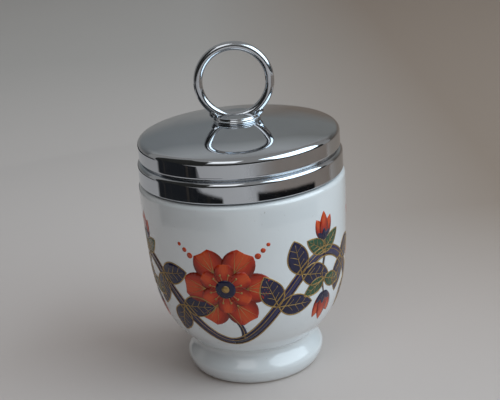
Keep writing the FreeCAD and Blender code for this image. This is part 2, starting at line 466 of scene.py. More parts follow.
def end_tree(graph, geometry, material):
    """Ends a tree with real geometry that has its material, and returns the tree."""
    real = graph.node("GeometryNodeRealizeInstances", {}, {"Geometry": geometry})
    coated = graph.node(
        "GeometryNodeSetMaterial", {}, {"Geometry": graph.out(real, "Geometry"), "Material": material}
    )
    target = graph.node("NodeGroupOutput")
    graph.tree.links.new(coated.outputs[0], target.inputs[0])
    return graph.tree


def smooth_with_creases(graph, geometry, angle):
    """Smooth shading that keeps edges sharper than the angle."""
    edge = graph.node("GeometryNodeInputMeshEdgeAngle")
    sharp = graph.node(
        "FunctionNodeCompare",
        {"data_type": "FLOAT", "operation": "GREATER_THAN"},
        {0: graph.out(edge, "Unsigned Angle"), 1: angle},
    )
    soft = graph.node("GeometryNodeSetShadeSmooth", {"domain": "FACE"}, {"Geometry": geometry})
    split = graph.node(
        "GeometryNodeSetShadeSmooth",
        {"domain": "EDGE"},
        {
            "Geometry": graph.out(soft, "Geometry"),
            "Selection": Val(graph, sharp.outputs[0]),
            "Shade Smooth": False,
        },
    )
    return graph.out(split, "Geometry")


def profile_grid(graph, points, columns):
    """A grid with a row for each profile point, and the column and that point's X and Z."""
    size = graph.node("GeometryNodeAttributeDomainSize", {"component": "MESH"}, {"Geometry": points})
    rows = graph.out(size, "Point Count")
    grid = graph.node("GeometryNodeMeshGrid", {}, {"Vertices X": columns, "Vertices Y": rows})
    index = graph.out(graph.node("GeometryNodeInputIndex"), "Index")
    column = (index / rows + 0.0001).maths("FLOOR")
    row = index - column * rows
    where = graph.out(graph.node("GeometryNodeInputPosition"), "Position")
    pick = graph.node(
        "GeometryNodeSampleIndex",
        {"data_type": "FLOAT_VECTOR", "domain": "POINT"},
        {"Geometry": points, "Value": where, "Index": row},
    )
    x, _, z = graph.parts(Val(graph, pick.outputs[0]))
    return graph.out(grid, "Mesh"), column, x, z


def turned_points(graph, mesh, radius, height, angle):
    """Moves the grid's points to a radius, a height and an angle about the Z axis."""
    across, back = radius * angle.maths("COSINE"), radius * angle.maths("SINE")
    moved = graph.node(
        "GeometryNodeSetPosition",
        {},
        {"Geometry": mesh, "Position": graph.vector(X=across, Y=back, Z=height)},
    )
    merged = graph.node(
        "GeometryNodeMergeByDistance", {}, {"Geometry": graph.out(moved, "Geometry"), "Distance": 1e-7}
    )
    return graph.out(merged, "Geometry")


def copies_round(graph, geometry, count, turn=0.0):
    """Copies of a geometry, evenly spaced round the Z axis."""
    places = graph.node(
        "GeometryNodeMeshLine", {"mode": "OFFSET"}, {"Count": count, "Offset": (0, 0, 0)}
    )
    index = graph.out(graph.node("GeometryNodeInputIndex"), "Index")
    spin = graph.vector(Z=index * math.tau / count + turn)
    copies = graph.node(
        "GeometryNodeInstanceOnPoints",
        {},
        {"Points": graph.out(places, "Mesh"), "Instance": geometry, "Rotation": spin},
    )
    return graph.out(copies, "Instances")


def lathe_tree():
    """Turns a profile about the Z axis."""
    inputs = [("Segments", "Int"), ("Crease Angle", "Float"), ("Material", "Material")]
    graph, given = geometry_tree("Lathe", inputs)
    segments = given["Segments"]
    mesh, column, radius, height = profile_grid(graph, given["Geometry"], segments + 1.0)
    turned = turned_points(graph, mesh, radius, height, column * math.tau / segments)
    shaded = smooth_with_creases(graph, turned, given["Crease Angle"])
    return end_tree(graph, shaded, given["Material"])


def thread_tree():
    """Sweeps a ridge's section along a helix whose ends run out, once for each start."""
    inputs = [
        ("Segments", "Int"), ("Turns", "Float"), ("Lead", "Float"), ("Run Out", "Float"),
        ("Root Radius", "Float"), ("Bottom", "Float"), ("Starts", "Int"),
        ("Crease Angle", "Float"), ("Material", "Material"),
    ]
    graph, given = geometry_tree("Screw Thread", inputs)
    segments = given["Segments"]
    mesh, column, radius, height = profile_grid(graph, given["Geometry"], segments + 1.0)
    share = column / segments
    room = (share.maths("MINIMUM", 1.0 - share) / given["Run Out"]).clamped()
    size = (room * (2.0 - room)) ** 0.5
    turn = share * given["Turns"]
    ridge_r = given["Root Radius"] + (radius - given["Root Radius"]) * size
    ridge_z = given["Bottom"] + height * size + turn * given["Lead"]
    ridge = turned_points(graph, mesh, ridge_r, ridge_z, turn * math.tau)
    copies = copies_round(graph, ridge, given["Starts"])
    real = graph.node("GeometryNodeRealizeInstances", {}, {"Geometry": copies})
    shaded = smooth_with_creases(graph, graph.out(real, "Geometry"), given["Crease Angle"])
    return end_tree(graph, shaded, given["Material"])


def wire_tree():
    """A closed ring of round wire that stands in the XZ plane."""
    inputs = [
        ("Ring Radius", "Float"), ("Wire Radius", "Float"), ("Centre Height", "Float"),
        ("Ring Steps", "Int"), ("Wire Steps", "Int"), ("Crease Angle", "Float"),
        ("Material", "Material"),
    ]
    graph, given = geometry_tree("Wire Ring", inputs)
    path, section = [
        graph.node(
            "GeometryNodeCurvePrimitiveCircle",
            {"mode": "RADIUS"},
            {"Resolution": given[part + " Steps"], "Radius": given[part + " Radius"]},
        )
        for part in ("Ring", "Wire")
    ]
    stood = graph.node(
        "GeometryNodeTransform",
        {},
        {
            "Geometry": graph.out(path, "Curve"),
            "Translation": graph.vector(Z=given["Centre Height"]),
            "Rotation": (math.pi / 2, 0, 0),
        },
    )
    wire = graph.node(
        "GeometryNodeCurveToMesh",
        {},
        {"Curve": graph.out(stood, "Geometry"), "Profile Curve": graph.out(section, "Curve")},
    )
    shaded = smooth_with_creases(graph, graph.out(wire, "Mesh"), given["Crease Angle"])
    return end_tree(graph, shaded, given["Material"])


def repeat_tree():
    """Copies one motif evenly round the Z axis."""
    inputs = [("Repeats", "Int"), ("Turn", "Float"), ("Material", "Material")]
    graph, given = geometry_tree("Repeat Round Cup", inputs)
    copies = copies_round(graph, given["Geometry"], given["Repeats"], given["Turn"])
    return end_tree(graph, copies, given["Material"])


TREES = {
    "Lathe": lathe_tree,
    "Screw Thread": thread_tree,
    "Wire Ring": wire_tree,
    "Repeat Round Cup": repeat_tree,
}


def new_object(name, mesh):
    piece = bpy.data.objects.new(name, mesh)
    bpy.context.scene.collection.objects.link(piece)
    return piece


def outline_object(name, outline):
    """An object whose vertices are the outline's points, in the XZ plane."""
    mesh = bpy.data.meshes.new(name)
    points = [(r, 0.0, z) for r, z in outline]
    mesh.from_pydata(points, [(i, i + 1) for i in range(len(points) - 1)], [])
    return new_object(name, mesh)


def face_outwards(piece):
    shape = bmesh.new()
    shape.from_mesh(piece.data)
    if shape.calc_volume(signed=True) < 0:
        piece.data.flip_normals()
    shape.free()


def grown(piece, tree_name, values):
    """Applies a tree with these inputs and leaves a plain mesh with outward faces."""
    tree = bpy.data.node_groups.get(tree_name) or TREES[tree_name]()
    modifier = piece.modifiers.new("Shape", "NODES")
    modifier.node_group = tree
    items = [item for item in tree.interface.items_tree if item.in_out == "INPUT"]
    sockets = {item.name: item.identifier for item in items}
    for name, value in values.items():
        modifier[sockets[name]] = value
    bpy.context.view_layer.update()
    graph = bpy.context.evaluated_depsgraph_get()
    mesh = bpy.data.meshes.new_from_object(
        piece.evaluated_get(graph), preserve_all_data_layers=True, depsgraph=graph
    )
    piece.modifiers.clear()
    if not mesh.polygons:
        raise RuntimeError(piece.name + " came out with no faces")
    piece.data = mesh
    mesh.name = piece.name
    face_outwards(piece)
    return piece


def steadied(outline, near=0.12 * MM, long=2.0 * MM):
    """The outline with extra points by the ends of its straight runs, which keep their shading flat."""
    drawn = [outline[0]]
    for (r0, z0), (r1, z1) in zip(outline, outline[1:]):
        reach = math.hypot(r1 - r0, z1 - z0)
        if reach > long:
            for share in (near / reach, 0.5, 1 - near / reach):
                drawn.append((r0 + (r1 - r0) * share, z0 + (z1 - z0) * share))
        drawn.append((r1, z1))
    return drawn


def turned_piece(name, outline, material, segments=256, crease=35):
    """A closed outline turned about the Z axis."""
    piece = outline_object(name, steadied(outline))
    values = {"Segments": segments, "Crease Angle": math.radians(crease), "Material": material}
    return grown(piece, "Lathe", values)


def thread_piece(name, section, root_r, bottom, turns, lead, material):
    """The two starts of a screw thread."""
    piece = outline_object(name, section)
    values = {
        "Segments": 120, "Turns": turns, "Lead": lead, "Run Out": 0.09, "Root Radius": root_r,
        "Bottom": bottom, "Starts": 2, "Crease Angle": math.radians(50), "Material": material,
    }
    return grown(piece, "Screw Thread", values)


def finished(piece, body, slot, *nodes):
    """Puts a piece on its body and hides the CAD parts that it stands in for."""
    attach(piece, body)
    if nodes:
        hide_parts(*nodes)


def rounded(centre, radius, start, end, steps=8):
    """Points of an arc about a centre, from one angle in degrees to another."""
    turn = math.radians(end - start) / steps
    return [
        (
            centre[0] + radius * math.cos(math.radians(start) + turn * step),
            centre[1] + radius * math.sin(math.radians(start) + turn * step),
        )
        for step in range(steps + 1)
    ]


def smooth_through(points, start_way, end_way, steps):
    """Points of a smooth curve through the given ones, with its directions at both ends."""
    places = [Vector(point) for point in points]
    gaps = [(after - before).length for before, after in zip(places, places[1:])]
    ways = [Vector(start_way).normalized()]
    for i in range(1, len(places) - 1):
        before = (places[i] - places[i - 1]) / gaps[i - 1]
        after = (places[i + 1] - places[i]) / gaps[i]
        ways.append((before * gaps[i] + after * gaps[i - 1]) / (gaps[i - 1] + gaps[i]))
    ways.append(Vector(end_way).normalized())
    drawn = [tuple(places[0])]
    for i, gap in enumerate(gaps):
        for step in range(1, steps + 1):
            t = step / steps
            point = (
                places[i] * (2 * t ** 3 - 3 * t ** 2 + 1)
                + ways[i] * gap * (t ** 3 - 2 * t ** 2 + t)
                + places[i + 1] * (3 * t ** 2 - 2 * t ** 3)
                + ways[i + 1] * gap * (t ** 3 - t ** 2)
            )
            drawn.append(tuple(point))
    return drawn


def outer_body_outline(cup):
    """The cup's outside from the foot's resting edge to the top of the bowl, in metres."""
    resting_edge = (19.2 * MM, 0.0)
    bulge = (cup.foot_r, 4.3 * MM)
    waist = (cup.waist_r, WAIST_Z)
    bowl = [
        waist, (21.4 * MM, 12.4 * MM), (25.1 * MM, 17.0 * MM), (28.1 * MM, 23.5 * MM),
        (30.0 * MM, 33.0 * MM), (30.9 * MM, 46.0 * MM), (cup.body_r, 58.5 * MM),
    ]
    outwards, up = (1, 0.6), (0, 1)
    steps = 14
    foot = smooth_through([resting_edge, bulge, waist], outwards, up, steps)
    return foot + smooth_through(bowl, up, up, steps)[1:]


def cup_outline(cup):
    """The whole outline of the cup, from the middle of its base round to the bowl's floor."""
    ledge_round, root_round, rim_round = 1.6 * MM, 0.6 * MM, 0.9 * MM
    recess_r, recess_z, recess_round = 15.2 * MM, 5.0 * MM, 1.4 * MM
    recess_edge, resting_edge = (17.3 * MM, 0.25 * MM), (17.6 * MM, 0.0)
    mouth = (cup.bore_r, 60.5 * MM)
    widest = (27.3 * MM, 49.0 * MM)
    floor = (0.0, 10.0 * MM)
    down, inwards = (0, -1), (-1, 0)
    ledge = cup.ledge_z
    outline = [(0.0, recess_z), (recess_r * 0.5, recess_z), (recess_r, recess_z)]
    outline += rounded((recess_r, recess_z - recess_round), recess_round, 80, 0, 6)
    outline += [recess_edge, resting_edge]
    outline += outer_body_outline(cup)
    outline += rounded((cup.body_r - ledge_round, ledge - ledge_round), ledge_round, 0, 90)
    outline += rounded((cup.neck_r + root_round, ledge + root_round), root_round, 270, 180, 6)
    outline += rounded((cup.neck_r - rim_round, cup.rim_z - rim_round), rim_round, 0, 90)
    outline += rounded((cup.bore_r + rim_round, cup.rim_z - rim_round), rim_round, 90, 180)
    outline += smooth_through([mouth, widest], down, down, 16)
    bowl = [widest, (23.2 * MM, 21.5 * MM), (15.5 * MM, 12.6 * MM), floor]
    outline += smooth_through(bowl, down, inwards, 16)[1:]
    return outline


def lid_outline(lid):
    """The closed outline of the pressed lid: outer side, tenon hole and inner side."""
    sheet = lid.sheet
    edge_z = lid.skirt_z + sheet / 2
    lower_band, upper_band = 4.85 * MM, 11.0 * MM
    band_round, crease_round, top_round = 1.4 * MM, 0.25 * MM, 1.9 * MM
    step_r = lid.skirt_r - band_round
    shoulder_z = lid.skirt_z + lower_band
    crease_z = shoulder_z + band_round + crease_round
    foot_round = lid.band_r - step_r
    foot_z = crease_z + crease_round + foot_round
    band_top = lid.skirt_z + upper_band
    round_r = lid.band_r - top_round

    # The dome is a ball crown round the middle and then a cone, down to the knee.
    crown_r, knee_r = 60.0 * MM, 19.5 * MM
    slope = 6.3
    out, up = math.sin(math.radians(slope)), math.cos(math.radians(slope))
    hole = math.degrees(math.asin(TENON_HOLE_R / crown_r))
    crown_z = lid.apex_z - crown_r
    knee = Vector((knee_r, crown_z + (crown_r - knee_r * out) / up))

    # From the knee an arc, the brow, runs on without a kink into the round of the edge.
    reach = knee - Vector((round_r, band_top))
    lift = reach.dot((out, up)) - top_round
    brow_r = (reach.length_squared - top_round ** 2) / (2 * lift)
    brow = (knee.x - brow_r * out, knee.y - brow_r * up)
    lean = math.degrees(math.atan2(round_r - brow[0], band_top - brow[1]))

    def side(inset, steps=10):
        """One side of the sheet from its lower edge to the tenon hole."""
        line = [(lid.skirt_r - inset, edge_z)]
        line += rounded((step_r, shoulder_z), band_round - inset, 0, 90, steps)
        line += rounded((step_r, crease_z), crease_round + inset, 270, 90, steps)
        line += rounded((step_r, foot_z), foot_round - inset, -90, 0, steps)
        line += rounded((round_r, band_top), top_round - inset, 0, 90 - lean, steps)
        line += rounded(brow, brow_r - inset, 90 - lean, 90 - slope, steps * 2)[1:]
        line += rounded((0.0, crown_z), crown_r - inset, 90 - slope, 90 - hole, steps)
        return line

    edge = rounded((lid.skirt_r - sheet / 2, edge_z), sheet / 2, 180, 360)
    inner = side(sheet)
    return inner[::-1] + edge[1:-1] + side(0.0) + inner[-1:]


def box_section(low_r, high_r, low_z, high_z, radius):
    """A closed rounded rectangle in the XZ plane."""
    left, right = low_r + radius, high_r - radius
    low, high = low_z + radius, high_z - radius
    steps = 5
    points = rounded((right, low), radius, -90, 0, steps)
    points += rounded((right, high), radius, 0, 90, steps)
    points += rounded((left, high), radius, 90, 180, steps)
    points += rounded((left, low), radius, 180, 270, steps)
    return points + points[:1]


def ridge_section(root, crest, base, top, side):
    """The closed section of a thread ridge about zero height, with softened corners."""
    soft = 0.12 * MM
    upper = [
        (crest, top / 2 - soft), (crest - side * soft * 0.4, top / 2),
        (crest - side * soft * 2, top / 2 + soft * 0.4), (root, base / 2),
    ]
    lower = [(r, -z) for r, z in reversed(upper)]
    return lower + upper + lower[:1]


class Surface:
    """The outside of the bowl, addressed by angle and by length up its profile."""

    def __init__(self, cup):
        self.points = outer_body_outline(cup)
        self.runs = [0.0]
        for (r0, z0), (r1, z1) in zip(self.points, self.points[1:]):
            self.runs.append(self.runs[-1] + math.hypot(r1 - r0, z1 - z0))

    def run_at(self, height):
        """Length up the profile, above the waist, at which the surface has this height."""
        for i in range(len(self.points) - 1):
            z0, z1 = self.points[i][1], self.points[i + 1][1]
            if z0 <= height <= z1 and height > WAIST_Z:
                share = (height - z0) / (z1 - z0)
                return self.runs[i] + share * (self.runs[i + 1] - self.runs[i])
        raise RuntimeError("no bowl at that height")

    def at(self, run):
        """Radius, height and outward direction at a length up the profile."""
        i = 0
        while i < len(self.runs) - 2 and self.runs[i + 1] < run:
            i += 1
        share = (run - self.runs[i]) / (self.runs[i + 1] - self.runs[i])
        (r0, z0), (r1, z1) = self.points[i], self.points[i + 1]
        way = Vector((r1 - r0, z1 - z0)).normalized()
        return r0 + (r1 - r0) * share, z0 + (z1 - z0) * share, Vector((way.y, -way.x))

    def point(self, angle, run, lift):
        r, z, out = self.at(run)
        r += out.x * lift
        return Vector((r * math.sin(angle), -r * math.cos(angle), z + out.y * lift))

    def beside(self, centre, points):
        """Angle and run of local points round a centre, which is an angle and run itself."""
        radius = self.at(centre[1])[0]
        return [(centre[0] + x / radius, centre[1] + y) for x, y in points]


class Motif:
    """Collects thin enamel shapes of one colour on the bowl's surface."""

    # How far the enamel's underside lies below the glaze.
    DEPTH = 0.05 * MM
    # What each point of a strip adds to its coordinate along the brush marks.
    BRUSH_STEP = 0.08

    def __init__(self, name, surface, lift):
        self.name = name
        self.surface = surface
        self.lift = lift
        self.points = []
        self.faces = []
        self.uvs = []

    def add(self, points, faces, uvs, layer):
        """Adds faces given as angle and run, closed underneath so that each shape is solid."""
        start, count = len(self.points), len(points)
        for lift in (self.lift * (1 + layer), -self.DEPTH):
            self.points += [self.surface.point(angle, run, lift) for angle, run in points]
        border = {}
        for face in faces:
            for a, b in zip(face, face[1:] + face[:1]):
                if (b, a) in border:
                    del border[(b, a)]
                else:
                    border[(a, b)] = True
            self.faces.append([start + i for i in face])
            self.faces.append([start + count + i for i in reversed(face)])
        for a, b in border:
            self.faces.append([start + b, start + a, start + count + a, start + count + b])
        self.uvs += uvs + uvs

    def patch(self, centre, outline, uvs_of, layer, grid=0.9 * MM):
        """Fills a closed outline of local points round a centre given as angle and run."""
        xs, ys = [p[0] for p in outline], [p[1] for p in outline]
        left, low = min(xs), min(ys)
        inner = []
        for j in range(int((max(ys) - low) / grid) + 1):
            for i in range(int((max(xs) - left) / grid) + 1):
                x = left + (i + 0.5 + 0.5 * (j % 2)) * grid
                y = low + (j + 0.5) * grid
                near = min(math.hypot(x - px, y - py) for px, py in outline)
                if near > grid * 0.4 and inside(outline, x, y):
                    inner.append((x, y))
        count = len(outline)
        edges = [(i, (i + 1) % count) for i in range(count)]
        places = [Vector(p) for p in outline + inner]
        inside_only, nearness = 1, 1e-8
        made = delaunay_2d_cdt(places, edges, [], inside_only, nearness)
        spots = made[0]
        points = self.surface.beside(centre, spots)
        faces = [list(face) for face in made[2]]
        faces = [face if turns_left(spots, face) else face[::-1] for face in faces]
        self.add(points, faces, [uvs_of(x, y) for x, y in spots], layer)

    def strip(self, path, width_of, layer):
        """A band along a path of angle and run points, with a width for each share of its length."""
        local = [Vector((angle * self.surface.at(run)[0], run)) for angle, run in path]
        last = len(path) - 1
        points, uvs, faces = [], [], []
        lanes = (-1, 0, 1)
        for i, (angle, run) in enumerate(path):
            way = (local[min(i + 1, last)] - local[max(i - 1, 0)]).normalized()
            half = width_of(i / last) / 2
            radius = self.surface.at(run)[0]
            for across in lanes:
                spot = Vector((-way.y, way.x)) * half * across
                points.append((angle + spot.x / radius, run + spot.y))
                uvs.append((across, i / last * len(path) * self.BRUSH_STEP))
        for i in range(last):
            for lane in range(len(lanes) - 1):
                a = i * len(lanes) + lane
                faces.append([a + 1, a, a + len(lanes), a + len(lanes) + 1])
        self.add(points, faces, uvs, layer)

    def build(self, material, settings):
        """Makes the mesh, copies it round the cup and returns the finished object."""
        mesh = bpy.data.meshes.new(self.name)
        mesh.from_pydata([tuple(point) for point in self.points], [], self.faces)
        layer = mesh.uv_layers.new(name="motif")
        for corner in mesh.loops:
            layer.data[corner.index].uv = self.uvs[corner.vertex_index]
        mesh.shade_smooth()
        piece = new_object(self.name, mesh)
        values = {"Repeats": settings.repeats, "Turn": settings.turn, "Material": material}
        return grown(piece, "Repeat Round Cup", values)


def turns_left(points, face):
    area = 0.0
    for a, b in zip(face, face[1:] + face[:1]):
        area += points[a].x * points[b].y - points[b].x * points[a].y
    return area > 0


def inside(outline, x, y):
    """Whether a point lies within a closed outline."""
    hit = False
    for (x0, y0), (x1, y1) in zip(outline, outline[1:] + outline[:1]):
        if (y0 > y) != (y1 > y) and x < (x1 - x0) * (y - y0) / (y1 - y0) + x0:
            hit = not hit
    return hit


def placed(shape, turn, shift=(0.0, 0.0)):
    """A local outline turned about its root and moved."""
    c, s = math.cos(turn), math.sin(turn)
    return [(x * c - y * s + shift[0], x * s + y * c + shift[1]) for x, y in shape]


def mirrored(right):
    """A closed outline from its right-hand half, which runs from root to tip."""
    return right + [(-x, y) for x, y in right[-2:0:-1]]


def leaf_shape(size, width, steps=14):
    """A pointed oval leaf that grows upwards from its root."""
    right = []
    for i in range(steps + 1):
        t = i / steps
        right.append((width / 2 * math.sin(math.pi * t ** 0.85) ** 0.8, size * t))
    return mirrored(right)


def petal_shape(size, width, notch, steps=12):
    """A broad petal with a shallow notch at its tip, growing upwards from its root."""
    right = []
    for i in range(steps):
        t = i / steps
        right.append((width / 2 * math.sin(math.pi * (0.06 + 0.94 * t) ** 1.5) ** 0.62, size * t))
    return mirrored(right + [(0.0, size * (1 - notch))])


def round_shape(radius, steps=20):
    return rounded((0.0, 0.0), radius, 0, 360, steps)[:-1]


def grow(motif, centre, shape, turn, size, width, layer, grid=0.9 * MM):
    """Adds a leaf or petal and gives it its own across and along coordinates."""

    def uvs_of(x, y):
        across, along = placed([(x, y)], -turn)[0]
        return (across / (width / 2), along / size)

    motif.patch(centre, placed(shape, turn), uvs_of, layer, grid)


class Band:
    """Draws one repeat of the flower band: a running vine with rosettes, buds and leaves."""

    # Places along the vine are shares of one repeat, and angles are in radians.
    VINE_MIDDLE_Z, VINE_SWING, VINE_WIDTH = 30.0 * MM, 12.5 * MM, 2.9 * MM
    VINE_GILT, VINE_GILT_SHIFT = 0.4 * MM, 1.55 * MM
    VINE_VEIN, VINE_VEIN_SHIFT = 0.22 * MM, 0.4 * MM
    FLOWER_Z, FLOWER_SIZE = 36.5 * MM, 28.5 * MM
    FLOWER_STALK_ROOT, FLOWER_STALK_TOP = 0.06, 8.0 * MM
    BLUE_LEAF, BLUE_LEAF_SPREAD = 11.2 * MM, math.radians(58)
    BLUE_LEAF_PLACES = (0.24, 0.36, 0.64, 0.76)
    LOW_BUD_Z, LOW_BUD_SIZE = 29.5 * MM, 10.5 * MM
    TOP_BUD_Z, TOP_BUD_SIZE = 46.2 * MM, 9.0 * MM
    LOW_SPRIG_Z, LOW_SPRIG_SIZE, LOW_SPRIG_SPREAD = 34.0 * MM, 8.8 * MM, 1.15
    TOP_SPRIG_SIZE, TOP_SPRIG_SPREAD = 9.0 * MM, 0.95
    BERRY_Z, BERRY_RISE, BERRY_ANGLE, BERRY_STEP = 46.5 * MM, 1.6 * MM, 0.33, 0.052
    BERRIES = (0.93 * MM, 0.75 * MM, 0.6 * MM)
    GILT = 0.2 * MM
    STAMEN_GILT, STAMEN_HEAD, STALK_GILT = 0.17 * MM, 0.36 * MM, 0.16 * MM
    BOWL_R = 30.0 * MM

    def __init__(self, surface, settings):
        self.surface = surface
        self.sector = math.tau / settings.repeats
        self.orange, self.blue, self.green, self.gold = [
            Motif("band_" + shade, surface, settings.lift)
            for shade in ("orange", "blue", "green", "gold")
        ]

    def vine_height(self, share):
        """Height of the vine at a share of one repeat, lowest under the flower."""
        return self.VINE_MIDDLE_Z - self.VINE_SWING * math.cos(math.tau * share)

    def vine_point(self, share, shift=0.0):
        """A point of the vine as angle and run, moved sideways off its line."""
        step = 0.002
        run = self.surface.run_at(self.vine_height(share))
        radius = self.surface.at(run)[0]
        ahead = self.surface.run_at(self.vine_height(share + step))
        way = Vector((step * self.sector * radius, ahead - run)).normalized()
        return share * self.sector - way.y * shift / radius, run + way.x * shift

    def draw_vine(self, steps=84):
        for motif, shift, width, layer in (
            (self.blue, 0.0, self.VINE_WIDTH, 0),
            (self.gold, self.VINE_GILT_SHIFT, self.VINE_GILT, 1),
            (self.gold, -self.VINE_GILT_SHIFT, self.VINE_GILT, 1),
            (self.gold, self.VINE_VEIN_SHIFT, self.VINE_VEIN, 2),
        ):
            path = [self.vine_point(i / steps, shift) for i in range(steps + 1)]
            motif.strip(path, lambda share, w=width: w, layer)

    def gild(self, centre, points, turn, width_of, layer):
        """A gilt line through local points, turned about a centre."""
        self.gold.strip(self.surface.beside(centre, placed(points, turn)), width_of, layer)

    def draw_leaf(self, centre, turn, size, green=False):
        """One leaf with its gilt edge, midrib and side veins."""
        width = size * (0.52 if green else 0.62)
        shape = leaf_shape(size, width)
        grow(self.green if green else self.blue, centre, shape, turn, size, width, 0.2)
        self.gild(centre, shape + shape[:1], turn, lambda share: self.GILT * 1.8, 1.2)
        rib = [(0.0, size * t / 8) for t in range(8)]
        self.gild(centre, rib, turn, lambda share: self.GILT * (1.5 - share), 1.4)
        for share in (0.25, 0.45, 0.65):
            reach = width * 0.34 * math.sin(math.pi * share) ** 0.7
            for side in (-1, 1):
                vein = [
                    (side * reach * t / 4, size * (share + 0.15 * (t / 4) ** 0.8)) for t in range(5)
                ]
                self.gild(centre, vein, turn, lambda part: self.GILT * (0.9 - part * 0.4), 1.3)

    def draw_rosette(self, centre, size):
        """A six-petalled rosette with small inner petals, a cobalt eye and gilt stamens."""
        petals, stamens = 6, 12
        outer, width = size * 0.5, size * 0.34
        inner, inner_width = size * 0.3, width * 0.62
        for i in range(petals):
            turn = math.tau * (i + 0.5) / petals
            shape = petal_shape(outer, width, 0.1)
            grow(self.orange, centre, shape, turn, outer, width, 0.1 + 0.25 * (i % 2))
            for way in (-0.34, 0.0, 0.34):
                line = [(way * width * t * 0.2, outer * (0.42 + 0.105 * t)) for t in range(5)]
                self.gild(centre, line, turn, lambda share: self.GILT * (1.1 - share), 1.6)
        for i in range(petals):
            shape = petal_shape(inner, inner_width, 0.06)
            grow(self.orange, centre, shape, math.tau * i / petals, inner, inner_width, 1.0)
        eye = round_shape(size * 0.105)
        self.blue.patch(centre, eye, lambda x, y: (x / size * 8, 0.3), 1.8)
        for i in range(stamens):
            turn = math.tau * (i + 0.5) / stamens
            stalk = [(0.0, size * (0.1 + 0.015 * t)) for t in range(5)]
            self.gild(centre, stalk, turn, lambda share: self.STAMEN_GILT, 2.4)
            tip = placed([(0.0, size * 0.165)], turn)[0]
            head = placed(round_shape(self.STAMEN_HEAD, 10), 0.0, tip)
            self.gold.patch(centre, head, lambda x, y: (0.0, 0.5), 2.8)
        heart = round_shape(size * 0.04, 14)
        self.gold.patch(centre, heart, lambda x, y: (0.0, 0.5), 2.6)

    def draw_bud(self, centre, turn, size):
        """A three-petalled bud in a blue calyx."""
        width, sepal, sepal_width = size * 0.42, size * 0.42, size * 0.2
        for way, scale, layer in ((-0.42, 0.86, 0.1), (0.42, 0.86, 0.3), (0.0, 1.0, 0.6)):
            shape = leaf_shape(size * scale, width)
            grow(self.orange, centre, shape, turn + way, size * scale, width, layer)
        for way in (-0.75, 0.0, 0.75):
            shape = leaf_shape(sepal, sepal_width, 8)
            grow(self.blue, centre, shape, turn + way, sepal, sepal_width, 1.2, 0.6 * MM)

    def draw_stalk(self, start, end, bend, width, steps=12):
        """A curved stalk between two places given as angle and run."""
        path = []
        for i in range(steps + 1):
            t = i / steps
            lean = bend * math.sin(math.pi * t) / self.BOWL_R
            path.append((
                start[0] + (end[0] - start[0]) * t + lean,
                start[1] + (end[1] - start[1]) * t,
            ))
        self.blue.strip(path, lambda share: width * (1.15 - 0.5 * share), 0.15)
        self.gold.strip(path, lambda share: self.STALK_GILT, 1.5)

    def draw_leaf_pair(self, share, size, spread):
        """Two leaves that spring from one place on the vine."""
        ahead = self.vine_point(share + 0.01)
        here = self.vine_point(share)
        radius = self.surface.at(here[1])[0]
        way = math.atan2(ahead[1] - here[1], (ahead[0] - here[0]) * radius) - math.pi / 2
        for side in (-1, 1):
            self.draw_leaf(here, way + side * spread, size)

    def draw_flower(self):
        """The rosette on its stalk."""
        flower = (0.0, self.surface.run_at(self.FLOWER_Z))
        root = self.vine_point(self.FLOWER_STALK_ROOT)
        top = (0.0, flower[1] - self.FLOWER_STALK_TOP)
        self.draw_stalk(root, top, bend=1.6 * MM, width=1.6 * MM)
        self.draw_rosette(flower, self.FLOWER_SIZE)

    def draw_crest(self):
        """The buds and green leaves above and below the vine's highest place."""
        run = self.surface.run_at
        half, aside = self.sector / 2, 0.02
        crest = self.vine_point(0.5)
        low_bud, top_bud = (half, run(self.LOW_BUD_Z)), (half, run(self.TOP_BUD_Z))
        low_sprig = (half, run(self.LOW_SPRIG_Z))
        self.draw_stalk((half + aside, crest[1]), low_bud, bend=-1.2 * MM, width=0.9 * MM)
        self.draw_bud(low_bud, math.pi, self.LOW_BUD_SIZE)
        for side in (-1, 1):
            low_turn = math.pi - side * self.LOW_SPRIG_SPREAD
            self.draw_leaf(low_sprig, low_turn, self.LOW_SPRIG_SIZE, green=True)
            top_sprig = (half + side * aside, crest[1])
            self.draw_leaf(top_sprig, side * self.TOP_SPRIG_SPREAD, self.TOP_SPRIG_SIZE, green=True)
        self.draw_stalk(crest, top_bud, bend=0.8 * MM, width=0.8 * MM)
        self.draw_bud(top_bud, 0.0, self.TOP_BUD_SIZE)

    def draw_berries(self):
        """Two short rows of berries beside the top of the rosette."""
        for side in (-1, 1):
            for step, size in enumerate(self.BERRIES):
                angle = side * (self.BERRY_ANGLE + step * self.BERRY_STEP)
                spot = (angle, self.surface.run_at(self.BERRY_Z + step * self.BERRY_RISE))
                self.orange.patch(spot, round_shape(size, 14), lambda x, y: (0.2, 0.6), 0.2)

    def draw(self):
        self.draw_vine()
        self.draw_flower()
        for share in self.BLUE_LEAF_PLACES:
            self.draw_leaf_pair(share, self.BLUE_LEAF, self.BLUE_LEAF_SPREAD)
        self.draw_crest()
        self.draw_berries()


def knot_mesh(name, places, radius, material):
    """Beads of solder: round lumps, drawn out along the wire."""
    drawn_out = Matrix.Diagonal((0.95, 1.0, 1.25, 1.0))
    wave_x, wave_z, wave_size = 5200, 4300, 0.05
    shape = bmesh.new()
    for place, way in places:
        turn = Vector((0, 0, 1)).rotation_difference(way).to_matrix().to_4x4()
        matrix = Matrix.Translation(place) @ turn @ drawn_out
        made = bmesh.ops.create_icosphere(shape, subdivisions=4, radius=radius, matrix=matrix)
        for vert in made["verts"]:
            ripple = 1 + wave_size * math.sin(vert.co.x * wave_x) * math.cos(vert.co.z * wave_z)
            vert.co = place + (vert.co - place) * ripple
    mesh = bpy.data.meshes.new(name)
    shape.to_mesh(mesh)
    shape.free()
    mesh.shade_smooth()
    mesh.materials.append(material)
    return new_object(name, mesh)


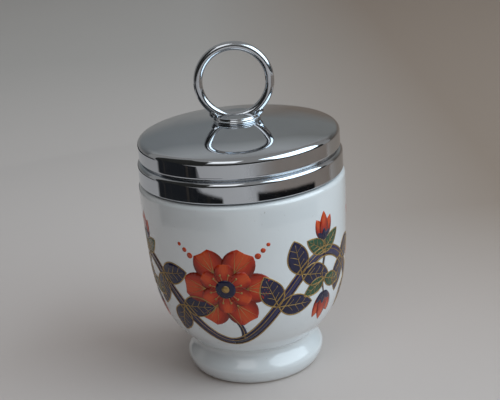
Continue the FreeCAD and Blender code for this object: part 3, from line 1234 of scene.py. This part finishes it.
def cut_flat(piece, height):
    """Removes what is below a height and closes the cut."""
    shape = bmesh.new()
    shape.from_mesh(piece.data)
    every = shape.verts[:] + shape.edges[:] + shape.faces[:]
    cut = bmesh.ops.bisect_plane(
        shape, geom=every, plane_co=(0, 0, height), plane_no=(0, 0, 1), clear_inner=True
    )
    edges = [item for item in cut["geom_cut"] if isinstance(item, bmesh.types.BMEdge)]
    bmesh.ops.holes_fill(shape, edges=edges, sides=0)
    shape.to_mesh(piece.data)
    shape.free()


class CODDLER_OT_stage(bpy.types.Operator):
    """Makes the floor, the backdrop, the lamps, the cards and the camera"""

    bl_idname = "coddler.stage"
    bl_label = "Stage"

    def execute(self, context):
        self.make_floor()
        self.make_cards()
        self.make_lamps(context)
        self.make_world(context)
        self.make_camera(context)
        return {"FINISHED"}

    def make_floor(self):
        """A floor that sweeps up into a backdrop."""
        front, back, half, bend, top = -1.4, 0.9, 2.2, 0.4, 2.4
        profile = [(front, 0.0), (0.0, 0.0), (back, 0.0)]
        profile += rounded((back, bend), bend, -90, 0, 16)[1:]
        profile += [(back + bend, top)]
        points = [(side * half, y, z) for side in (-1, 1) for y, z in profile]
        count = len(profile)
        faces = [[i, i + count, i + count + 1, i + 1] for i in range(count - 1)]
        mesh = bpy.data.meshes.new("floor")
        mesh.from_pydata(points, [], faces)
        mesh.shade_smooth()
        mesh.materials.append(floor_finish())
        new_object("floor", mesh)

    def make_cards(self):
        """Curved screens that the camera doesn't see, each with a radius, two angles and a height."""
        brown = (0.05, 0.036, 0.026)
        black = (0.006, 0.006, 0.008)
        left = card_finish("streaked_card", black, brown, (0.06, 0.12, 0.05))
        front = card_finish("front_card", black, (0.035, 0.027, 0.018), (0.01, 0.06, 0.06))
        right = card_finish("right_card", black, (0.022, 0.016, 0.012), (0.05, 0.05, 0.05))
        dark = card_finish("dark_screen", (0.022, 0.019, 0.015))
        cards = {
            "card_left": (0.15, -98, -40, left, self.left_height),
            "card_front": (0.15, -52, -19, front, lambda share: 0.0268 - 0.0035 * share),
            "card_right": (0.15, 12, 80, right, lambda share: 0.0248 - 0.0025 * share),
            "card_tan": (0.198, 2, 110, tan_finish(), lambda share: 0.07 * min(1.0, 0.3 + 2 * share)),
            "card_back": (0.262, -178, -102, front, lambda share: 0.035),
            "screen_left": (0.62, -104, -40, dark, lambda share: 0.9 + 0.3 * (1 - share)),
            "horizon": (1.25, -104, 104, dark, lambda share: 0.46 + 0.3 * (1 - share) ** 2),
        }
        for name, parts in cards.items():
            card = self.make_card(name, *parts)
            card.visible_camera = card.visible_shadow = False
            card.visible_diffuse = name == "screen_left"

    def make_card(self, name, radius, start, end, material, height, steps=40):
        """An upright card that curves about the axis, with a height for each share of its width."""
        points = []
        for i in range(steps + 1):
            angle = math.radians(start + (end - start) * i / steps)
            x, y = radius * math.sin(angle), -radius * math.cos(angle)
            points += [(x, y, 0.0), (x, y, height(i / steps))]
        faces = [[2 * i, 2 * i + 2, 2 * i + 3, 2 * i + 1] for i in range(steps)]
        mesh = bpy.data.meshes.new(name)
        mesh.from_pydata(points, [], faces)
        mesh.materials.append(material)
        layer = mesh.uv_layers.new(name="card")
        for loop in mesh.loops:
            layer.data[loop.index].uv = (loop.vertex_index // 2 / steps, loop.vertex_index % 2)
        return new_object(name, mesh)

    @staticmethod
    def left_height(share):
        """The left card's height: level at first, then a steep and a gentle fall to the right."""
        highest, lowest = 0.085, 0.0275
        gentle, steep, steep_end = 0.09, 0.5, 0.6
        return min(highest, lowest + gentle * (1 - share) + steep * max(0.0, steep_end - share))

    def make_lamps(self, context):
        """Area lamps, each with a place, a size, a power and a colour, that face the cup."""
        target = Vector((0, 0, 0.05))
        lamps = {
            "window_right": ((0.86, -0.34, 0.70), (1.25, 1.0), 10.4, (0.78, 0.93, 1.03)),
            "lamp_left": ((-0.31, -0.69, 0.95), (0.6, 0.6), 1.2, (0.97, 0.98, 1.0)),
            "soft_top": ((0.35, 0.0, 1.5), (1.2, 1.2), 5.6, (0.93, 0.97, 1.0)),
        }
        for name, (place, size, power, tint) in lamps.items():
            light = bpy.data.lights.new(name, "AREA")
            light.shape = "RECTANGLE"
            light.size, light.size_y = size
            light.energy = power
            light.color = tint
            lamp = bpy.data.objects.new(name, light)
            lamp.location = place
            lamp.rotation_euler = (target - Vector(place)).to_track_quat("-Z", "Y").to_euler()
            lamp.visible_glossy = name != "soft_top"
            lamp.visible_camera = False
            context.scene.collection.objects.link(lamp)

    def make_world(self, context):
        tint, strength = (0.62, 0.605, 0.59, 1.0), 0.44
        world = bpy.data.worlds.new("soft_room")
        context.scene.world = world
        world.use_nodes = True
        back = world.node_tree.nodes["Background"]
        back.inputs["Color"].default_value = tint
        back.inputs["Strength"].default_value = strength

    def make_camera(self, context):
        """The photograph's viewpoint."""
        settings = context.scene.coddler_stage
        eye = Vector((0.0, -settings.distance, settings.height))
        forward = (Vector((settings.aim_x, 0.0, settings.aim_z)) - eye).normalized()
        right = forward.cross(Vector((0, 0, 1))).normalized()
        up = right.cross(forward)
        c, s = math.cos(settings.roll), math.sin(settings.roll)
        axes = Matrix((right * c + up * s, up * c - right * s, -forward)).transposed().to_4x4()
        lens = bpy.data.cameras.new("camera")
        lens.sensor_fit = "HORIZONTAL"
        lens.sensor_width = SENSOR
        lens.lens = PHOTO_FOCAL / PHOTO_WIDTH * SENSOR
        lens.clip_start = 0.01
        camera = bpy.data.objects.new("camera", lens)
        camera.matrix_world = Matrix.Translation(eye) @ axes
        context.scene.collection.objects.link(camera)
        context.scene.camera = camera
        context.scene.view_settings.view_transform = "Standard"


class CODDLER_OT_cup(bpy.types.Operator):
    """Makes the glazed porcelain cup with its threaded neck"""

    bl_idname = "coddler.cup"
    bl_label = "Porcelain Cup"

    def execute(self, context):
        cup = context.scene.coddler_cup
        white = porcelain_finish()
        body = turned_piece("cup_body", cup_outline(cup), white)
        finished(body, "cup", "porcelain", "cup")

        root, crest = cup.neck_r - 0.25 * MM, cup.neck_r + 1.2 * MM
        base, top, turns = 2.1 * MM, 1.0 * MM, 0.7
        bottom = cup.ledge_z + 1.9 * MM
        section = ridge_section(root, crest, base, top, 1)
        threads = thread_piece("cup_thread", section, root, bottom, turns, cup.lead, white)
        finished(threads, "cup", "porcelain")
        return {"FINISHED"}


class CODDLER_OT_lid(bpy.types.Operator):
    """Makes the chromed lid shell, its threaded liner, the washer and the seal"""

    bl_idname = "coddler.lid"
    bl_label = "Lid"

    SLEEVE_WALL = 0.65 * MM

    def execute(self, context):
        lid = context.scene.coddler_lid
        chrome = chrome_finish("bright_chrome_lid", tuple(lid.chrome), rough=0.008, wear=0.03)
        shell = turned_piece("lid_skin", lid_outline(lid), chrome, segments=320)
        finished(shell, "lid", "bright_chrome", "lid_shell")

        tin = tin_finish()
        liner = turned_piece("liner_sleeve", self.sleeve_outline(), tin, segments=192)
        threads = self.make_thread(context.scene.coddler_cup, tin)
        finished(liner, "lid", "tinned_steel", "thread_liner")
        finished(threads, "lid", "tinned_steel")

        washer = box_section(TENON_HOLE_R, WASHER_HIGH.x, WASHER_LOW.z, WASHER_HIGH.z, 0.15 * MM)
        washer = turned_piece("washer_disc", washer, tin, segments=96)
        finished(washer, "lid", "tinned_steel", "rivet_washer")

        seal_hole_r, seal_round = 23.8 * MM, 0.3 * MM
        seal = box_section(seal_hole_r, SEAL_HIGH.x, SEAL_LOW.z, SEAL_HIGH.z, seal_round)
        seal = turned_piece("seal_ring", seal, seal_finish(), segments=192)
        finished(seal, "seal", "seal_rubber", "lid_seal")
        return {"FINISHED"}

    def sleeve_outline(self):
        """Section of the liner: a sleeve with a flange at its top that holds the seal down."""
        chamfer, flange_chamfer, root_chamfer = 0.2 * MM, 0.15 * MM, 0.1 * MM
        flange_r = 22.0 * MM
        out_r, low, top = LINER_HIGH.x, LINER_LOW.z, LINER_HIGH.z
        in_r, under = out_r - self.SLEEVE_WALL, SEAL_HIGH.z
        return [
            (in_r, low), (out_r, low), (out_r, top - chamfer), (out_r - chamfer, top),
            (flange_r + chamfer, top), (flange_r, top - chamfer), (flange_r, under + flange_chamfer),
            (flange_r + flange_chamfer, under), (in_r - root_chamfer, under),
            (in_r, under - root_chamfer), (in_r, low),
        ]

    def make_thread(self, cup, tin):
        root, crest = LINER_HIGH.x - self.SLEEVE_WALL + 0.2 * MM, 26.8 * MM
        base, top, turns = 1.3 * MM, 0.8 * MM, 0.62
        bottom = cup.ledge_z + 3.9 * MM
        section = ridge_section(root, crest, base, top, -1)
        return thread_piece("liner_thread", section, root, bottom, turns, cup.lead, tin)


class CODDLER_OT_ring(bpy.types.Operator):
    """Makes the lift ring, its boss and the beads of solder"""

    bl_idname = "coddler.ring"
    bl_label = "Lift Ring"

    def execute(self, context):
        ring = context.scene.coddler_ring
        tint = tuple(context.scene.coddler_lid.chrome)
        chrome = chrome_finish("bright_chrome_ring", tint, rough=0.1, wear=0.04)
        finished(self.make_wire(ring, chrome), "lid", "bright_chrome", "lift_ring")
        boss = self.boss_outline(ring)
        boss = turned_piece("boss_disc", boss, chrome, segments=128, crease=50)
        finished(boss, "lid", "bright_chrome", "ring_boss")

        across, above = 6.6 * MM, 0.35 * MM
        places = []
        for side in (-1, 1):
            place = Vector((side * across, 0.0, BOSS_HIGH.z + above))
            way = Vector((side * 0.75, 0.0, 0.66))
            places.append((place, way))
        beads = knot_mesh("solder_beads", places, ring.solder_r, chrome)
        finished(beads, "lid", "bright_chrome", "ring_solder")
        return {"FINISHED"}

    def make_wire(self, ring, chrome):
        """The wire ring, cut off where it meets the boss."""
        wire = outline_object("ring_wire", [(0.0, 0.0), (MM, 0.0)])
        values = {
            "Ring Radius": ring.outer_r - ring.wire_r, "Wire Radius": ring.wire_r,
            "Centre Height": RING_HIGH.z - ring.outer_r,
            "Ring Steps": 160, "Wire Steps": 40, "Crease Angle": 1.0, "Material": chrome,
        }
        wire = grown(wire, "Wire Ring", values)
        cut_flat(wire, BOSS_HIGH.z)
        return wire

    def boss_outline(self, ring):
        """Outline of the boss with its bead, its tenon and its peened head."""
        bead, top_round = 0.5 * MM, 0.4 * MM
        foot_z = 78.72 * MM
        bead_z = foot_z + 0.18 * MM
        tenon_top = foot_z + 0.1 * MM
        top_r, tenon_r, head_r = 6.5 * MM, 1.7 * MM, 2.9 * MM
        top, low, head_top = BOSS_HIGH.z, BOSS_LOW.z, WASHER_LOW.z
        outline = [(0.0, low)]
        for across, up in rounded((0.0, 1.0), 1.0, -90, 0)[1:]:
            outline.append((head_r * across, low + (head_top - low) * up))
        outline += [(tenon_r, head_top), (tenon_r, tenon_top)]
        outline += rounded((ring.boss_r - bead, bead_z), bead, -60, 80, 12)
        outline += rounded((top_r - top_round, top - top_round), top_round, 0, 90, 6)
        outline += [(top_r * 0.4, top), (0.0, top)]
        return outline


class CODDLER_OT_pattern(bpy.types.Operator):
    """Makes the fired-on flower band"""

    bl_idname = "coddler.pattern"
    bl_label = "Flower Band"

    def execute(self, context):
        settings = context.scene.coddler_pattern
        band = Band(Surface(context.scene.coddler_cup), settings)
        band.draw()
        blue, green = tuple(settings.blue), tuple(settings.green)
        made = [
            band.orange.build(orange_finish(), settings),
            band.blue.build(leaf_finish("cobalt_enamel", blue, (0.026, 0.025, 0.085)), settings),
            band.green.build(leaf_finish("green_enamel", green, (0.05, 0.14, 0.07)), settings),
            band.gold.build(gold_finish(), settings),
        ]
        for piece in made:
            finished(piece, "cup", "porcelain")
        return {"FINISHED"}


class CODDLER_PT_panel(bpy.types.Panel):
    """Lists the settings and the steps"""

    bl_label = "Egg Coddler"
    bl_idname = "CODDLER_PT_panel"
    bl_space_type = "VIEW_3D"
    bl_region_type = "UI"
    bl_category = "Coddler"

    def draw(self, context):
        for name, group in SETTINGS.items():
            column = self.layout.column()
            column.label(text=group.__doc__)
            for setting in group.__annotations__:
                column.prop(getattr(context.scene, name), setting)
        for operator in OPERATORS:
            self.layout.operator(operator.bl_idname)


OPERATORS = [
    CODDLER_OT_stage, CODDLER_OT_cup, CODDLER_OT_lid, CODDLER_OT_ring, CODDLER_OT_pattern,
]


def register():
    for group in SETTINGS.values():
        bpy.utils.register_class(group)
    for operator in OPERATORS:
        bpy.utils.register_class(operator)
    bpy.utils.register_class(CODDLER_PT_panel)
    for name, group in SETTINGS.items():
        setattr(bpy.types.Scene, name, PointerProperty(type=group))


def unregister():
    for name in SETTINGS:
        delattr(bpy.types.Scene, name)
    bpy.utils.unregister_class(CODDLER_PT_panel)
    for operator in reversed(OPERATORS):
        bpy.utils.unregister_class(operator)
    for group in reversed(SETTINGS.values()):
        bpy.utils.unregister_class(group)


def main():
    """Registers the settings, which hold the sizes, and runs every step."""
    register()
    bpy.ops.coddler.stage()
    bpy.ops.coddler.cup()
    bpy.ops.coddler.lid()
    bpy.ops.coddler.ring()
    bpy.ops.coddler.pattern()
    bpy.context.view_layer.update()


if __name__ == "__main__":
    main()
